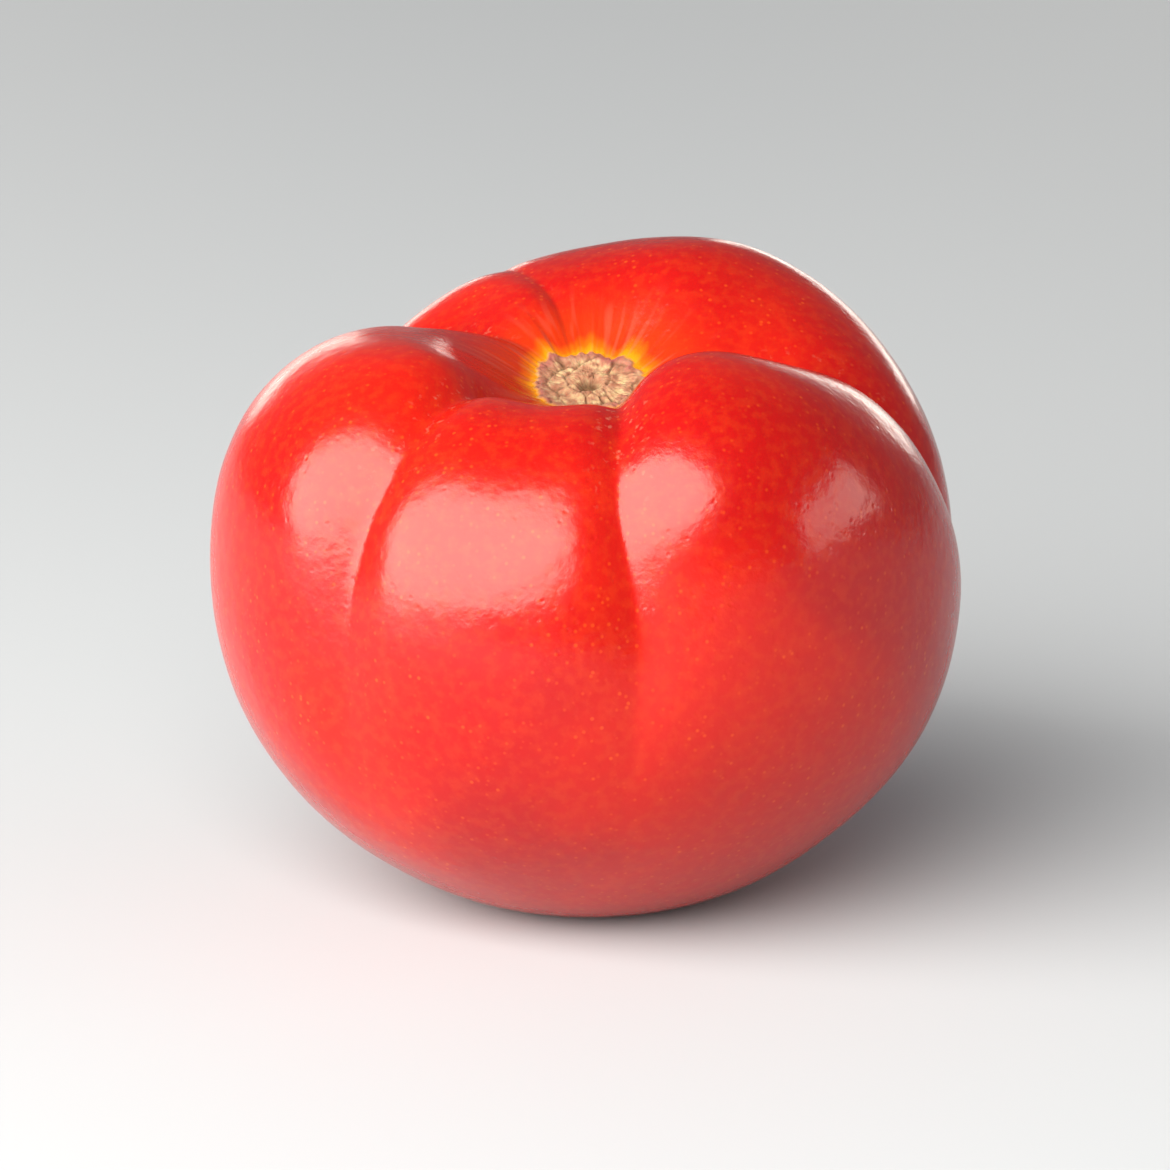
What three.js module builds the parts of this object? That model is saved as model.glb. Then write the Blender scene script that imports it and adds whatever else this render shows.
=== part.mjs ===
// A ripe, ribbed salad tomato, picked and with its stalk gone. It grew as one piece, so it is one solid.
// It stands on its blossom end, on a small flat ring round a dimple. The corky stalk scar is on top,
// in a hollow that five rounded lobes surround. Millimetres, +Z up, the front of the fruit towards -Y.
import * as THREE from 'three';

const { degToRad, euclideanModulo, smoothstep } = THREE.MathUtils;

// Blossom end: the small dimple and the flat ring that the fruit stands on.
const dimpleRadius = 3.5;
const dimpleDepth = 0.5;
const restRadius = 9;

// Belly: the widest level. The fruit is a little wider from side to side than from front to back.
const bellyRadiusX = 38.5;
const bellyRadiusY = 36.8;
const bellyHeight = 34.7;

// Crown: the crest that runs round the stalk hollow, at its mean height.
const crownRadius = 20;
const crownHeight = 58.2;

// Stalk scar: a slightly dished corky disc at the bottom of the hollow. It rises towards the back.
const hollowDepth = 5.6;
const scarRadius = 6;
const scarDish = 0.6;
const scarSlope = 0.23;

// How full each stretch of the outline is, as shares of the space that the stretch crosses.
const undersideSpread = 0.27;
const undersideSteepness = 0.69;
const shoulderSteepness = 0.69;
const shoulderSpread = 0.49;
const hollowLip = 0.5;
const hollowFloor = 0.21;
const hollowFoot = 0.2;

// Turning points of the crest, going round: azimuth in degrees from the front, positive towards +X,
// and how far the crest is above the mean crown there.
const crest = [
  { azimuth: -165, rise: 2.6 }, // back left lobe
  { azimuth: -132, rise: -1.6 },
  { azimuth: -58, rise: 0.8 }, // left lobe
  { azimuth: -14, rise: -2.2 }, // low front lobe
  { azimuth: 32, rise: 2.1 }, // right lobe
  { azimuth: 86, rise: -2.4 },
  { azimuth: 148, rise: 4.8 }, // back right lobe, the highest
];

// Creases between the lobes. Each one is a valley that is deepest on the shoulder.
const creases = [
  { azimuth: -130, depth: 2.8 },
  { azimuth: -41, depth: 2.9 },
  { azimuth: 7, depth: 3.1 },
  { azimuth: 92, depth: 2.8 },
  { azimuth: 197, depth: 1.5 },
];
const creaseHalfWidth = 7.5; // degrees from the bottom of a valley to half its depth
const creaseStart = 0.4; // share of the belly height where the creases begin
const creaseFull = 0.5; // share of the way from belly to crown where they are deepest
const creaseLoss = 0.3; // share of their depth that they lose by the crown
const lobeStart = 0.9; // share of the belly height where the lobes begin to differ

// How finely the solid is cut: columns round the fruit and rows along each stretch of the outline.
const columns = 90;
const dimpleRows = 3;
const ringRows = 1;
const undersideRows = 11;
const shoulderRows = 11;
const hollowRows = 6;
const scarRows = 2;

const tomatoSkin = new THREE.MeshStandardMaterial({
  name: 'tomato_skin',
  color: 0xd9201b,
  roughness: 0.25,
  metalness: 0,
});

// One curved stretch of the outline, from start to end, pulled towards its two handles.
function stretch(start, startHandle, endHandle, end) {
  return new THREE.CubicBezierCurve(start, startHandle, endHandle, end);
}

// The mean outline, from the axis below to the axis above, as rows with their outward direction.
function outlineRows() {
  const at = (radius, height) => new THREE.Vector2(radius, height);
  const scarHeight = crownHeight - hollowDepth;
  const dimpleCentre = at(0, dimpleDepth);
  const dimpleEdge = at(dimpleRadius, 0);
  const ringEdge = at(restRadius, 0);
  const belly = at(bellyRadiusX, bellyHeight);
  const crown = at(crownRadius, crownHeight);
  const scarEdge = at(scarRadius, scarHeight);
  const scarCentre = at(0, scarHeight - scarDish);

  const undersideOut = restRadius + undersideSpread * (bellyRadiusX - restRadius);
  const undersideUp = bellyHeight * (1 - undersideSteepness);
  const shoulderUp = bellyHeight + shoulderSteepness * (crownHeight - bellyHeight);
  const shoulderOut = crownRadius + shoulderSpread * (bellyRadiusX - crownRadius);
  const lipIn = crownRadius - hollowLip * (crownRadius - scarRadius);
  const floorOut = scarRadius + hollowFloor * (crownRadius - scarRadius);
  const floorUp = scarHeight + hollowFoot * hollowDepth;

  const dimple = stretch(
    dimpleCentre, at(dimpleRadius / 3, dimpleDepth), at(dimpleRadius * 2 / 3, 0), dimpleEdge);
  const ring = new THREE.LineCurve(dimpleEdge, ringEdge);
  const underside = stretch(ringEdge, at(undersideOut, 0), at(bellyRadiusX, undersideUp), belly);
  const shoulder = stretch(belly, at(bellyRadiusX, shoulderUp), at(shoulderOut, crownHeight), crown);
  const hollow = stretch(crown, at(lipIn, crownHeight), at(floorOut, floorUp), scarEdge);
  const scar = new THREE.LineCurve(scarEdge, scarCentre);

  const stretches = [
    { curve: dimple, rows: dimpleRows, inHollow: false },
    { curve: ring, rows: ringRows, inHollow: false },
    { curve: underside, rows: undersideRows, inHollow: false },
    { curve: shoulder, rows: shoulderRows, inHollow: false },
    { curve: hollow, rows: hollowRows, inHollow: true },
    { curve: scar, rows: scarRows, inHollow: true },
  ];
  const rows = [{ point: dimpleCentre, outward: at(0, -1), inHollow: false }];
  for (const { curve, rows: count, inHollow } of stretches) {
    for (let row = 1; row <= count; row += 1) {
      const tangent = curve.getTangent(row / count);
      rows.push({ point: curve.getPoint(row / count), outward: at(tangent.y, -tangent.x), inHollow });
    }
  }
  return rows;
}

// Height of the crest above the mean crown, easing from one turning point to the next.
function crestRise(azimuth) {
  let rise = 0;
  crest.forEach((from, index) => {
    const to = crest[(index + 1) % crest.length];
    const span = euclideanModulo(to.azimuth - from.azimuth, 360);
    const along = euclideanModulo(azimuth - from.azimuth, 360);
    if (along < span) {
      rise = from.rise + (to.rise - from.rise) * smoothstep(along, 0, span);
    }
  });
  return rise;
}

// Depth of the creases, each one a rounded valley with long gentle sides.
function creaseDepth(azimuth) {
  let depth = 0;
  for (const crease of creases) {
    const away = euclideanModulo(azimuth - crease.azimuth + 180, 360) - 180;
    depth += crease.depth / (1 + (away / creaseHalfWidth) ** 2);
  }
  return depth;
}

// How strongly the lobes and the creases show at one row of the outline.
function strengths({ point, inHollow }) {
  if (inHollow) {
    const outFromScar = smoothstep(point.x, scarRadius, crownRadius);
    return { lobes: outFromScar, creases: outFromScar * (1 - creaseLoss) };
  }
  const full = bellyHeight + creaseFull * (crownHeight - bellyHeight);
  const grown = smoothstep(point.y, creaseStart * bellyHeight, full);
  const lost = creaseLoss * smoothstep(point.y, full, crownHeight);
  return {
    lobes: smoothstep(point.y, lobeStart * bellyHeight, crownHeight),
    creases: grown * (1 - lost),
  };
}

// How much narrower the fruit is from front to back than from side to side, at one radius of the
// outline. The ring and the scar are round, and the belly is the most oval.
function drawnIn(radius) {
  const oval = smoothstep(radius, restRadius, bellyRadiusX);
  return 1 - oval * (1 - bellyRadiusY / bellyRadiusX);
}

// The fruit: the mean outline turned round the axis, then moved in or out along the outline's own
// outward direction by the lobes and creases, and drawn in from front to back.
function fruit() {
  const rows = outlineRows();
  const geometry = new THREE.LatheGeometry(rows.map((row) => row.point), columns);
  geometry.rotateX(Math.PI / 2);
  const position = geometry.getAttribute('position');

  for (let column = 0; column <= columns; column += 1) {
    const azimuth = (column % columns) * 360 / columns;
    const turn = degToRad(azimuth);
    const rise = crestRise(azimuth);
    const depth = creaseDepth(azimuth);
    rows.forEach((row, index) => {
      const strength = strengths(row);
      const out = rise * strength.lobes - depth * strength.creases;
      const radius = Math.max(row.point.x + row.outward.x * out, 0);
      const x = radius * Math.sin(turn);
      const y = -radius * Math.cos(turn) * drawnIn(row.point.x);
      const slope = row.inHollow ? scarSlope * (1 - smoothstep(row.point.x, scarRadius, crownRadius)) : 0;
      const z = row.point.y + row.outward.y * out + slope * y;
      position.setXYZ(column * rows.length + index, x, y, z);
    });
  }

  // The origin is on the ground, under the middle of the fruit.
  geometry.computeBoundingBox();
  const middle = geometry.boundingBox.getCenter(new THREE.Vector3());
  geometry.translate(-middle.x, -middle.y, 0);
  geometry.computeVertexNormals();
  return geometry;
}

const tomato = new THREE.Mesh(fruit(), tomatoSkin);
tomato.name = 'tomato';

const part = new THREE.Group();
part.add(tomato);

export default part;
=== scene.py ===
import math

import bmesh
import bpy
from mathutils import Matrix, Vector, noise
from mathutils.geometry import interpolate_bezier


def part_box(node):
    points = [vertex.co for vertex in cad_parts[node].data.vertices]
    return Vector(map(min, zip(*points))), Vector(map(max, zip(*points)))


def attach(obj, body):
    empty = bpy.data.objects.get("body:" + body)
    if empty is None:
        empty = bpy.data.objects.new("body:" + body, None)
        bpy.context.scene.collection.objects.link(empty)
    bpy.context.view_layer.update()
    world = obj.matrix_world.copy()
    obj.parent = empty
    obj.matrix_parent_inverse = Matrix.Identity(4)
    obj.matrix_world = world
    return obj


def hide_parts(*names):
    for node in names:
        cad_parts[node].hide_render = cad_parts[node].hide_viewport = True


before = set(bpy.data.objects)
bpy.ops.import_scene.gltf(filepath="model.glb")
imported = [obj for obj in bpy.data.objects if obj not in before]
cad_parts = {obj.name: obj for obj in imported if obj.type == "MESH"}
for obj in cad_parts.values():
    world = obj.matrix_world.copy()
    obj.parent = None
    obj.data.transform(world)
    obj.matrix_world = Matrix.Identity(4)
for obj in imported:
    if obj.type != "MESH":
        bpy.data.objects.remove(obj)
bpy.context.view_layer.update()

# A ripe ribbed tomato on a pale table: one grown piece, with a glossy skin, a corky stalk scar in the
# hollow on top and a small brown blossom scar below. Lengths are metres unless a comment says otherwise.

mm = 0.001
low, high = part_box("tomato")
size = high - low
middle = (low + high) / 2


def linear(hexColour):
    # sRGB hex to the linear colour that the shaders use
    channels = [int(hexColour[i:i + 2], 16) / 255 for i in (1, 3, 5)]
    return [c / 12.92 if c <= 0.04045 else ((c + 0.055) / 1.055) ** 2.4 for c in channels] + [1]


def ease(value, start, end):
    # 0 before start, 1 after end, smooth between; start may be the larger one
    share = min(max((value - start) / (end - start), 0), 1)
    return share * share * (3 - 2 * share)


def addNode(tree, kind, settings=None, inputs=None):
    # an input is a value, an sRGB hex colour, or a (node, output) pair to link from
    node = tree.nodes.new("ShaderNode" + kind)
    for name, value in (settings or {}).items():
        setattr(node, name, value)
    for name, value in (inputs or {}).items():
        if isinstance(value, tuple) and isinstance(value[0], bpy.types.Node):
            tree.links.new(value[0].outputs[value[1]], node.inputs[name])
        else:
            node.inputs[name].default_value = linear(value) if isinstance(value, str) else value
    return node


def setRamp(node, stops):
    # colour ramp stops as (position, sRGB hex)
    ramp = node.color_ramp
    while len(ramp.elements) < len(stops):
        ramp.elements.new(0.5)
    for element, (position, colour) in zip(ramp.elements, stops):
        element.position = position
        element.color = linear(colour)


# Millimetres and degrees. The outline, the crest and each crease's azimuth and depth are the solid's. The
# creases keep more of their depth over the crown and into the hollow than the solid's do, and they have a
# narrow fold and wander. The relief of both scars, the waves, the ripples and the puckers are added.
fruit = {
    "dimpleRadius": 3.5,
    "dimpleDepth": 0.5,
    "restRadius": 9,
    "bellyRadiusX": 38.5,
    "bellyRadiusY": 36.8,
    "bellyHeight": 34.7,
    "crownRadius": 20,
    "crownHeight": 58.2,
    "hollowDepth": 5.6,
    "scarRadius": 6,
    "scarDish": 0.6,
    "scarSlope": 0.23,
    # how full each stretch of the outline is, as shares of the space that it crosses
    "undersideSpread": 0.27,
    "undersideSteepness": 0.69,
    "shoulderSteepness": 0.69,
    "shoulderSpread": 0.49,
    "hollowLip": 0.5,
    "hollowFloor": 0.21,
    "hollowFoot": 0.2,
    # turning points of the crest going round: azimuth from the front, rise above crownHeight
    "crest": [(-165, 2.6), (-132, -1.6), (-58, 0.8), (-14, -2.2), (32, 2.1), (86, -2.4), (148, 4.8)],
    "lobeStart": 0.9,  # share of the belly's height where the lobes begin to differ
    # creases between the lobes: azimuth, depth
    "creases": [(-130, 2.8), (-41, 2.9), (7, 3.1), (92, 2.8), (197, 1.5)],
    "creaseHalfWidth": 8.5,
    "creaseStart": 0.4,  # share of the belly's height where the creases begin
    "creaseFull": 0.5,  # share of the way from belly to crown where they are deepest
    "creaseLoss": 0.1,  # share of their depth that they lose by the crown
    "creaseInner": 0.75,  # share of the crown's radius from which they fade towards the scar
    "foldShare": 0.2,  # of a crease's depth is a narrow fold along its bottom
    "foldWidth": 2.6,
    "wander": 5,  # degrees at most, how far a crease strays from its azimuth
    "wanderLength": 26,
    "wanderSeed": Vector((0, 0, 9)),
    "columns": 450,
    "rows": {"dimple": 12, "ring": 4, "underside": 48, "shoulder": 72, "hollow": 42, "scar": 36},
    # what growing adds: slow waves, small ripples, and puckers that run into the hollow
    "waveLength": 21,
    "waveHeight": 0.35,
    "rippleLength": 4.5,
    "rippleHeight": 0.035,
    "looseHeight": 8,  # above the table, where waves and ripples reach their full height
    "puckerHeight": 0.16,
    "seed": Vector((3.1, 7.7, 1.9)),
    # the cork's scalloped edge and its relief
    "scallop": (0.95, 0.2, 0.1),  # mean, slow and fine part of the edge, as shares of the scar's radius
    "plateSize": 2.3,
    "plateRise": 0.3,
    "crackDepth": 0.22,
    "coreRadius": 1.6,
    "coreDepth": 0.6,
    "rimWidth": 1.5,
    "rimRise": 0.2,
    "grainLength": 0.7,
    "grainHeight": 0.16,
    # how far the yellow spreads from the cork: mean, slow and fine part, then a faint wash up the hollow
    "haloReach": (3.4, 1.4, 0.5),
    "haloWash": 0.32,
    "hollowTop": 17,  # radius where puckers and the halo's wash end
    "blossomRadius": 1.1,
    "blossomRelief": 0.12,
}
# masks read by the skin; the streak mask marks pale streaks of painted sheen in the hollow
maskNames = ("cork", "crack", "rim", "halo", "streak", "weathered", "blossom")


def fruitOutline(f):
    # the outline without lobes or creases, from the axis below to the axis above, as (radius, height)
    belly, crown, rest, inner = f["bellyRadiusX"], f["crownRadius"], f["restRadius"], f["scarRadius"]
    bellyHeight, crownHeight = f["bellyHeight"], f["crownHeight"]
    dimple, dimpleDepth, dish = f["dimpleRadius"], f["dimpleDepth"], f["scarDish"]
    scarHeight = crownHeight - f["hollowDepth"]
    corner = [
        (0, dimpleDepth), (dimple, 0), (rest, 0), (belly, bellyHeight),
        (crown, crownHeight), (inner, scarHeight), (0, scarHeight - dish),
    ]
    undersideOut = rest + f["undersideSpread"] * (belly - rest)
    undersideUp = bellyHeight * (1 - f["undersideSteepness"])
    shoulderUp = bellyHeight + f["shoulderSteepness"] * (crownHeight - bellyHeight)
    shoulderOut = crown + f["shoulderSpread"] * (belly - crown)
    lipIn = crown - f["hollowLip"] * (crown - inner)
    floorOut = inner + f["hollowFloor"] * (crown - inner)
    floorUp = scarHeight + f["hollowFoot"] * f["hollowDepth"]
    handles = {
        "dimple": [(dimple / 3, dimpleDepth), (dimple * 2 / 3, 0)],
        "ring": [(dimple + 1, 0), (rest - 1, 0)],
        "underside": [(undersideOut, 0), (belly, undersideUp)],
        "shoulder": [(belly, shoulderUp), (shoulderOut, crownHeight)],
        "hollow": [(lipIn, crownHeight), (floorOut, floorUp)],
        "scar": [(inner * 2 / 3, scarHeight - dish / 3), (inner / 3, scarHeight - dish * 2 / 3)],
    }
    points = [corner[0]]
    for index, name in enumerate(handles):
        knots = [corner[index], *handles[name], corner[index + 1]]
        stretch = interpolate_bezier(*[Vector((r, 0, z)) for r, z in knots], f["rows"][name] + 1)
        points += [(p.x, p.z) for p in stretch[1:]]
    return points


def crestRise(f, azimuth):
    # height of the crest above crownHeight, easing from one turning point to the next
    turns = f["crest"]
    for (start, before), (end, after) in zip(turns, turns[1:] + turns[:1]):
        span = (end - start) % 360
        along = (azimuth - start) % 360
        if along < span:
            return before + (after - before) * ease(along, 0, span)
    return 0


def creaseDepth(f, azimuth):
    # each crease is a rounded valley with long gentle sides and a narrow fold along its bottom
    depth = 0
    for place, deepest in f["creases"]:
        away = abs((azimuth - place + 180) % 360 - 180)
        valley = 1 / (1 + (away / f["creaseHalfWidth"]) ** 2)
        fold = math.exp((1 - math.hypot(away, 1)) / f["foldWidth"])
        depth += deepest * (valley + f["foldShare"] * (fold - valley))
    return depth


def around(azimuth, detail, offset):
    # noise that closes on itself going round the fruit
    turn = math.radians(azimuth)
    return noise.noise(Vector((math.cos(turn) * detail, math.sin(turn) * detail, offset)))


def scarRelief(f, masks, place, azimuth, radius):
    # the cork is a scalloped disc with a raised rim, cracked into plates round a sunken core
    mean, slow, fine = f["scallop"]
    edge = f["scarRadius"] * (mean + slow * around(azimuth, 2.4, 5) + fine * around(azimuth, 8, 1))
    cork = ease(radius, edge + 0.2, edge - 0.2)
    rim = ease(radius, edge - f["rimWidth"], edge - 0.4) * cork
    turn = math.radians(azimuth)
    ray = Vector((1.3 * math.cos(turn), 1.3 * math.sin(turn), radius / f["plateSize"] + 3))
    near, _ = noise.voronoi(ray)
    split = ease(near[1] - near[0], 0.11, 0) * ease(radius, 1, 1.8) * ease(radius, edge, edge - 1)
    core = ease(radius, f["coreRadius"], f["coreRadius"] - 1)
    plates = ease(radius, 3.4, 2.1)
    grain = noise.fractal(place / f["grainLength"], 0.7, 2.1, 5)
    masks["cork"] = cork
    masks["rim"] = rim
    masks["crack"] = cork * max(0.7 * split, 0.9 * core)

    # the skin round it is yellow, and then orange up the hollow
    mean, slow, fine = f["haloReach"]
    reach = mean + slow * around(azimuth, 2.5, 7) + fine * around(azimuth, 9, 2)
    wash = f["haloWash"] * ease(radius, f["hollowTop"], 7)
    masks["halo"] = max(ease(radius, edge + reach, edge - 0.3), wash)

    relief = f["grainHeight"] * grain - f["crackDepth"] * split - f["coreDepth"] * core
    return cork * (relief + f["plateRise"] * plates + f["rimRise"] * rim)


def makeFruit(f):
    bm = bmesh.new()
    points = [bm.verts.new((r, 0, z)) for r, z in fruitOutline(f)]
    edges = [bm.edges.new(pair) for pair in zip(points, points[1:])]
    bmesh.ops.spin(bm, geom=points + edges, axis=(0, 0, 1), cent=(0, 0, 0), angle=math.tau,
                   steps=f["columns"], use_merge=True)
    bmesh.ops.remove_doubles(bm, verts=bm.verts, dist=0.001)
    bmesh.ops.recalc_face_normals(bm, faces=bm.faces)
    bm.normal_update()

    layers = {name: bm.verts.layers.float.new(name) for name in maskNames}
    full = f["bellyHeight"] + f["creaseFull"] * (f["crownHeight"] - f["bellyHeight"])
    for v in bm.verts:
        radius, height = math.hypot(v.co.x, v.co.y), v.co.z
        azimuth = math.degrees(math.atan2(v.co.x, -v.co.y))
        place = v.co.copy() + f["seed"]
        inHollow = height > full and radius < f["crownRadius"]
        if inHollow:
            lobes = ease(radius, f["scarRadius"], f["crownRadius"])
            creased = ease(radius, f["scarRadius"], f["creaseInner"] * f["crownRadius"])
            creased *= 1 - f["creaseLoss"]
        else:
            lobes = ease(height, f["lobeStart"] * f["bellyHeight"], f["crownHeight"])
            creased = ease(height, f["creaseStart"] * f["bellyHeight"], full)
            creased *= 1 - f["creaseLoss"] * ease(height, full, f["crownHeight"])
        astray = f["wander"] * noise.noise(place / f["wanderLength"] + f["wanderSeed"])
        depth = creaseDepth(f, azimuth + astray)
        out = crestRise(f, azimuth) * lobes - depth * creased

        # slow waves and ripples fade out towards the ring that the fruit stands on
        loose = ease(height, 0.2, f["looseHeight"])
        out += loose * f["waveHeight"] * noise.noise(place / f["waveLength"])
        out += loose * f["rippleHeight"] * noise.noise(place / f["rippleLength"])

        masks = dict.fromkeys(maskNames, 0)
        if inHollow:
            out += scarRelief(f, masks, place, azimuth, radius)
            # puckers run from the scar up the sides of the hollow, and faint pale streaks of painted sheen
            # lie among them
            pucker = ease(radius, f["hollowTop"], 7) * ease(radius, 4.5, 6.5)
            out += pucker * f["puckerHeight"] * (around(azimuth, 6, 2) + 0.6 * around(azimuth, 15, 9))
            masks["streak"] = ease(around(azimuth, 17, radius / 4), 0.05, 0.5) * ease(radius, 15, 8)

        # weathered skin lies where creases cross the crown
        onCrown = ease(height, full, f["crownHeight"]) * ease(radius, 8, 14)
        masks["weathered"] = ease(depth, 1.2, 2.6) * onCrown

        # the blossom scar is a small brown dot in the dimple
        if height < 1:
            masks["blossom"] = ease(radius, f["blossomRadius"] + 0.2, f["blossomRadius"] - 0.2)
            out += masks["blossom"] * f["blossomRelief"] * noise.noise(place / 0.4)
        for name, layer in layers.items():
            v[layer] = masks[name]

        # it is oval at the belly, easing to round at the ring, and the floor of the hollow rises to the back
        oval = ease(radius, f["restRadius"], f["bellyRadiusX"])
        drawnIn = 1 - oval * (1 - f["bellyRadiusY"] / f["bellyRadiusX"])
        moved = v.co + v.normal * out
        moved.y *= drawnIn
        if inHollow:
            moved.z += f["scarSlope"] * moved.y * (1 - ease(radius, f["scarRadius"], f["crownRadius"]))
        v.co = moved

    # it fills the solid's box exactly, standing on its ring
    found = [Vector(end(v.co[axis] for v in bm.verts) for axis in range(3)) for end in (min, max)]
    scale = Vector(size[axis] / (found[1][axis] - found[0][axis]) for axis in range(3))
    bmesh.ops.translate(bm, vec=-found[0], verts=bm.verts)
    bmesh.ops.scale(bm, vec=scale, verts=bm.verts)
    bmesh.ops.translate(bm, vec=low, verts=bm.verts)

    mesh = bpy.data.meshes.new("tomato_fruit")
    bm.to_mesh(mesh)
    bm.free()
    mesh.shade_smooth()
    tomato = bpy.data.objects.new("tomato_fruit", mesh)
    bpy.context.collection.objects.link(tomato)
    return tomato


tomato = makeFruit(fruit)
print("fruit:", len(tomato.data.polygons), "faces")


skin = {
    "scarlet": "#AC1307",
    "crimson": "#9C0908",
    "patchSize": 30 * mm,
    "fleck": "#D45A16",
    "fleckSpacing": 0.85 * mm,
    "fleckPatch": 7 * mm,
    "fleckStrength": (0.12, 0.42),
    "mottleSize": 1.2 * mm,
    "mottleStrength": 0.08,
    "halo": [(0.0, "#AC1307"), (0.35, "#B02C04"), (0.75, "#BE5A02"), (1.0, "#CE8A0A")],
    "scuffAndSheen": "#B4705A",  # scuffs on weathered skin, and pale streaks of painted sheen in the hollow
    "sheenStrength": 0.14,
    "scuffSize": 0.9 * mm,
    "scuffStrength": 0.5,
    "cork": [(0.3, "#875540"), (0.5, "#A2765C"), (0.68, "#BCA27A")],
    "corkGrain": 1.1 * mm,
    "corkRim": "#8E4A48",
    "corkCrack": "#5A3C22",
    "waverSize": 1.5 * mm,
    "waverHeight": 0.07 * mm,
    "pitSpacing": 1.6 * mm,
    "pitDepth": 0.02 * mm,
    "roughness": (0.2, 0.262),
    "corkRoughness": 0.85,
    "lightTravel": 4 * mm,  # how far light strays in the flesh
}


def makeSkin(s):
    # Ripe tomato skin: a thin clear waxy cuticle over wet red flesh. It gives the eye a deep saturated
    # red with soft-edged glossy reflections, faint pits, and fine pale flecks. The scar is dry cork.
    material = bpy.data.materials.new("waxy_tomato_skin")
    material.use_nodes = True
    tree = material.node_tree
    tree.nodes.clear()
    place = (addNode(tree, "TexCoord"), "Object")
    masks = {name: (addNode(tree, "Attribute", {"attribute_name": name}), "Fac") for name in maskNames}
    blend = {"data_type": "RGBA"}  # on such a Mix node 6 and 7 are the colours, and 2 is the result
    eased = {"interpolation_type": "SMOOTHSTEP"}
    times = {"operation": "MULTIPLY"}

    # slow patches of scarlet and crimson
    patches = addNode(tree, "TexNoise", None, {"Vector": place, "Scale": 1 / s["patchSize"]})
    ripeness = addNode(tree, "MapRange", eased, {
        "Value": (patches, "Fac"), "From Min": 0.4, "From Max": 0.6})
    red = addNode(tree, "Mix", blend, {0: (ripeness, 0), 6: s["crimson"], 7: s["scarlet"]})

    # a faint orange mottle, and flecks: the middles of small cells, each cell with its own strength,
    # stronger in some places
    grain = addNode(tree, "TexNoise", None, {"Vector": place, "Scale": 1 / s["mottleSize"], "Detail": 3.0})
    mottle = addNode(tree, "MapRange", eased, {
        "Value": (grain, "Fac"), "From Min": 0.4, "From Max": 0.7, "To Max": s["mottleStrength"]})
    mottled = addNode(tree, "Mix", blend, {0: (mottle, 0), 6: (red, 2), 7: s["fleck"]})
    cells = addNode(tree, "TexVoronoi", None, {"Vector": place, "Scale": 1 / s["fleckSpacing"]})
    dots = addNode(tree, "MapRange", eased, {
        "Value": (cells, "Distance"), "From Min": 0.34, "From Max": 0.04})
    own = addNode(tree, "SeparateColor", None, {"Color": (cells, "Color")})
    ownStrength = addNode(tree, "MapRange", eased, {"Value": (own, "Red"), "From Min": 0.2})
    fleckPatches = addNode(tree, "TexNoise", None, {"Vector": place, "Scale": 1 / s["fleckPatch"]})
    thickness = addNode(tree, "MapRange", eased, {
        "Value": (fleckPatches, "Fac"), "From Min": 0.3, "From Max": 0.65,
        "To Min": s["fleckStrength"][0], "To Max": s["fleckStrength"][1]})
    ownDots = addNode(tree, "Math", times, {0: (dots, 0), 1: (ownStrength, 0)})
    flecks = addNode(tree, "Math", times, {0: (ownDots, 0), 1: (thickness, 0)})
    flecked = addNode(tree, "Mix", blend, {0: (flecks, 0), 6: (mottled, 2), 7: s["fleck"]})

    # the yellow halo round the scar
    haloTone = addNode(tree, "ValToRGB", None, {"Fac": masks["halo"]})
    setRamp(haloTone, s["halo"])
    haloShare = addNode(tree, "MapRange", eased, {"Value": masks["halo"], "From Max": 0.35})
    haloed = addNode(tree, "Mix", blend, {0: (haloShare, 0), 6: (flecked, 2), 7: (haloTone, "Color")})

    # pale streaks of painted sheen in the hollow, and small scuffs on the weathered places
    sheenStreaks = addNode(tree, "Math", times, {0: masks["streak"], 1: s["sheenStrength"]})
    sheened = addNode(tree, "Mix", blend, {0: (sheenStreaks, 0), 6: (haloed, 2), 7: s["scuffAndSheen"]})
    scuffGrain = addNode(tree, "TexNoise", None, {
        "Vector": place, "Scale": 1 / s["scuffSize"], "Detail": 3.0})
    scuffMarks = addNode(tree, "MapRange", eased, {
        "Value": (scuffGrain, "Fac"), "From Min": 0.58, "From Max": 0.74, "To Max": s["scuffStrength"]})
    scuffs = addNode(tree, "Math", times, {0: masks["weathered"], 1: (scuffMarks, 0)})
    worn = addNode(tree, "Mix", blend, {0: (scuffs, 0), 6: (sheened, 2), 7: s["scuffAndSheen"]})

    # cork: mottled tan, mauve in places along the rim, brown in its cracks and its core
    corkGrain = addNode(tree, "TexNoise", None, {
        "Vector": place, "Scale": 1 / s["corkGrain"], "Detail": 5.0})
    corkTone = addNode(tree, "ValToRGB", None, {"Fac": (corkGrain, "Fac")})
    setRamp(corkTone, s["cork"])
    rimPatches = addNode(tree, "TexNoise", None, {"Vector": place, "Scale": 0.5 / s["corkGrain"]})
    rimTint = addNode(tree, "MapRange", eased, {
        "Value": (rimPatches, "Fac"), "From Min": 0.4, "From Max": 0.6, "To Min": 0.2, "To Max": 0.9})
    rim = addNode(tree, "Math", times, {0: masks["rim"], 1: (rimTint, 0)})
    rimmed = addNode(tree, "Mix", blend, {0: (rim, 0), 6: (corkTone, "Color"), 7: s["corkRim"]})
    cracked = addNode(tree, "Mix", blend, {0: masks["crack"], 6: (rimmed, 2), 7: s["corkCrack"]})
    corked = addNode(tree, "Mix", blend, {0: masks["cork"], 6: (worn, 2), 7: (cracked, 2)})
    colour = addNode(tree, "Mix", blend, {0: masks["blossom"], 6: (corked, 2), 7: s["corkCrack"]})

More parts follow.
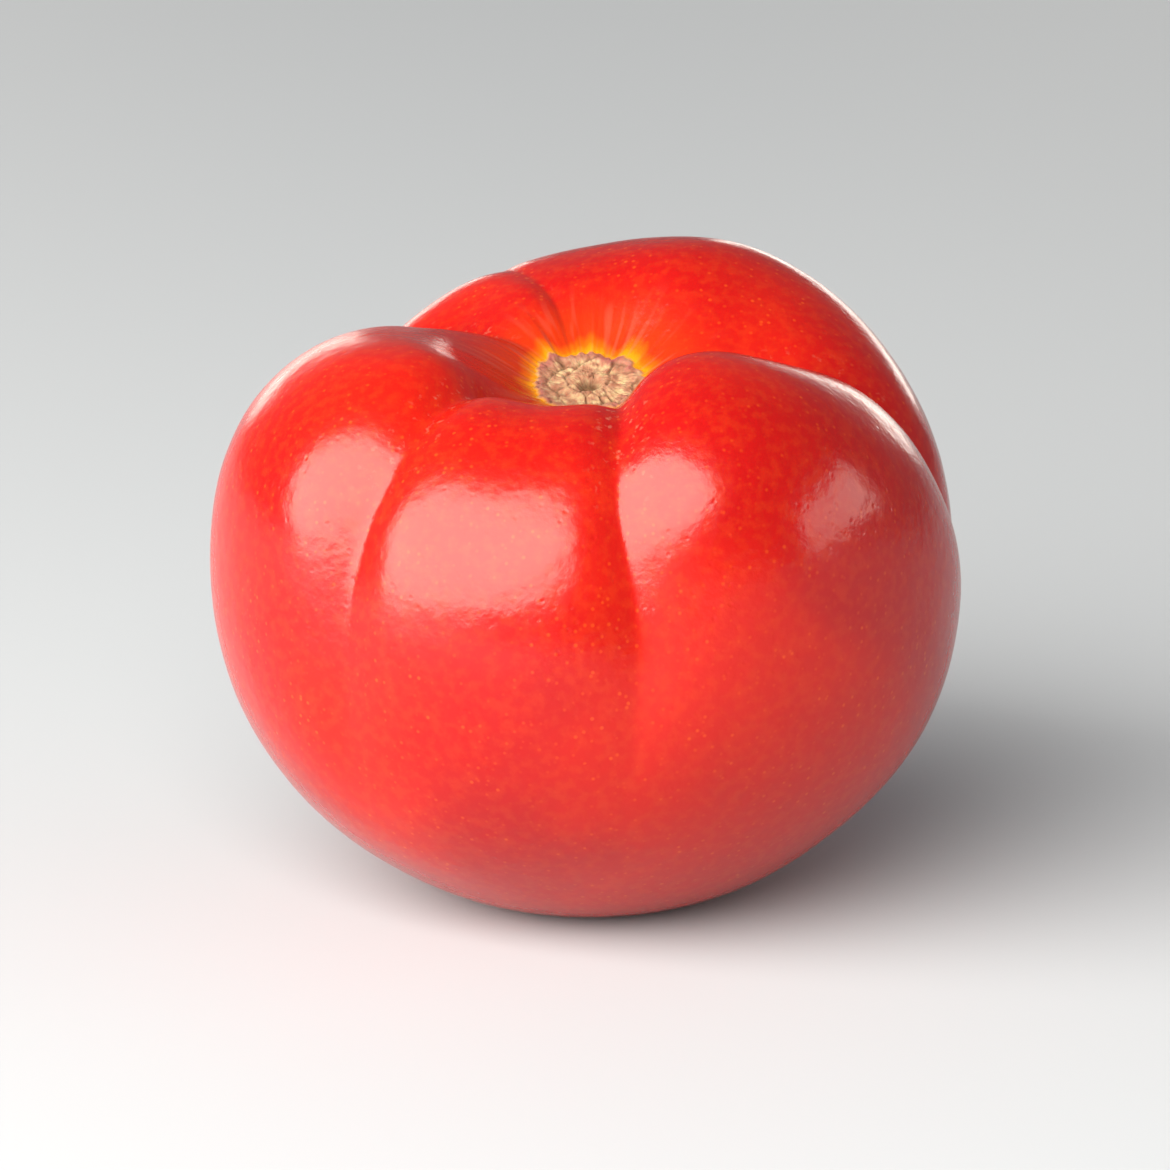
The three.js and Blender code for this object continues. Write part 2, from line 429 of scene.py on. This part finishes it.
    # the cuticle wavers a little and has sparse fine pits
    waverGrain = addNode(tree, "TexNoise", None, {
        "Vector": place, "Scale": 1 / s["waverSize"], "Detail": 3.0})
    waver = addNode(tree, "Bump", None, {"Height": (waverGrain, "Fac"), "Distance": s["waverHeight"]})
    pitCells = addNode(tree, "TexVoronoi", None, {"Vector": place, "Scale": 1 / s["pitSpacing"]})
    pits = addNode(tree, "MapRange", eased, {"Value": (pitCells, "Distance"), "From Max": 0.22})
    relief = addNode(tree, "Bump", None, {
        "Height": (pits, 0), "Distance": s["pitDepth"], "Normal": (waver, 0)})

    # the wax is glossier in some places, and the cork is dull
    wax = addNode(tree, "MapRange", eased, {
        "Value": (patches, "Fac"), "From Min": 0.3, "From Max": 0.7,
        "To Min": s["roughness"][0], "To Max": s["roughness"][1]})
    roughness = addNode(tree, "Mix", {"data_type": "FLOAT"}, {
        0: masks["cork"], 2: (wax, 0), 3: s["corkRoughness"]})

    shader = addNode(tree, "BsdfPrincipled", None, {
        "Base Color": (colour, 2), "Roughness": (roughness, 0), "Normal": (relief, 0), "IOR": 1.43,
        "Subsurface Weight": 0.15, "Subsurface Radius": Vector((1.0, 0.12, 0.06)),
        "Subsurface Scale": s["lightTravel"]})
    addNode(tree, "OutputMaterial", None, {"Surface": (shader, "BSDF")})
    return material


tomato.data.materials.append(makeSkin(skin))
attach(tomato, "root")
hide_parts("tomato")
print("skin: done")


studio = {
    "floorColour": "#B4BAC2",
    "floorRoughness": 0.7,
    "floorSize": 4.0,
    "worldGrey": 0.2,
    "lightColour": "#FFF8EC",
    "lightDistance": 0.8,
    # shape, azimuth from the camera's side, elevation, roll, half width and half height over distance,
    # and radiance
    "lights": {
        "window": ("ELLIPSE", -45, 30, 18, 1.12, 0.5, 9.4),
        "side": ("RECTANGLE", 86, 11, 10, 0.42, 0.14, 3.6),
        "rearLeft": ("RECTANGLE", -164, 2, 0, 0.18, 0.06, 4.0),
        "rearRight": ("RECTANGLE", 164, 2, 0, 0.22, 0.06, 4.5),
    },
    "viewElevation": 16.5,
    "viewDistance": 1.0,
    "fruitShare": 0.64,  # of the picture's width
    "sensorWidth": 36,
}


def aroundFruit(azimuth, elevation, distance):
    # a point seen from the fruit's middle, azimuth 0 being the camera's side
    turn, lift = math.radians(azimuth), math.radians(elevation)
    out = Vector((math.sin(turn) * math.cos(lift), -math.cos(turn) * math.cos(lift), math.sin(lift)))
    return middle + out * distance


def facing(point, target):
    return (target - point).to_track_quat("-Z", "Y").to_euler()


def makeFloor(s):
    bm = bmesh.new()
    bmesh.ops.create_grid(bm, x_segments=1, y_segments=1, size=s["floorSize"] / 2)
    mesh = bpy.data.meshes.new("floor")
    bm.to_mesh(mesh)
    bm.free()
    floor = bpy.data.objects.new("floor", mesh)
    bpy.context.collection.objects.link(floor)
    card = bpy.data.materials.new("pale_matt_card")  # smooth matt card: even, with hardly any gloss
    card.use_nodes = True
    shader = card.node_tree.nodes["Principled BSDF"]
    shader.inputs["Base Color"].default_value = linear(s["floorColour"])
    shader.inputs["Roughness"].default_value = s["floorRoughness"]
    mesh.materials.append(card)


def makeLights(s):
    world = bpy.data.worlds.new("studio")
    world.use_nodes = True
    background = world.node_tree.nodes["Background"]
    background.inputs["Color"].default_value = [s["worldGrey"]] * 3 + [1]
    bpy.context.scene.world = world

    for name, (shape, azimuth, elevation, roll, halfWidth, halfHeight, radiance) in s["lights"].items():
        lamp = bpy.data.lights.new(name, "AREA")
        lamp.shape = shape
        lamp.size = 2 * halfWidth * s["lightDistance"]
        lamp.size_y = 2 * halfHeight * s["lightDistance"]
        lamp.color = linear(s["lightColour"])[:3]
        area = lamp.size * lamp.size_y * (math.pi / 4 if shape == "ELLIPSE" else 1)
        lamp.energy = radiance * math.pi * area
        panel = bpy.data.objects.new(name, lamp)
        panel.location = aroundFruit(azimuth, elevation, s["lightDistance"])
        panel.rotation_euler = facing(panel.location, middle)
        panel.rotation_euler.rotate_axis("Z", math.radians(roll))
        panel.visible_camera = False
        bpy.context.collection.objects.link(panel)


def makeCamera(s):
    lens = bpy.data.cameras.new("camera")
    lens.sensor_width = s["sensorWidth"]
    lens.lens = s["sensorWidth"] * s["viewDistance"] * s["fruitShare"] / size.x
    lens.clip_start, lens.clip_end = 0.01, 20
    camera = bpy.data.objects.new("camera", lens)
    camera.location = aroundFruit(0, s["viewElevation"], s["viewDistance"])
    camera.rotation_euler = facing(camera.location, middle)
    bpy.context.collection.objects.link(camera)
    bpy.context.scene.camera = camera
    bpy.context.scene.view_settings.view_transform = "Standard"


makeFloor(studio)
makeLights(studio)
makeCamera(studio)
print("studio: done")
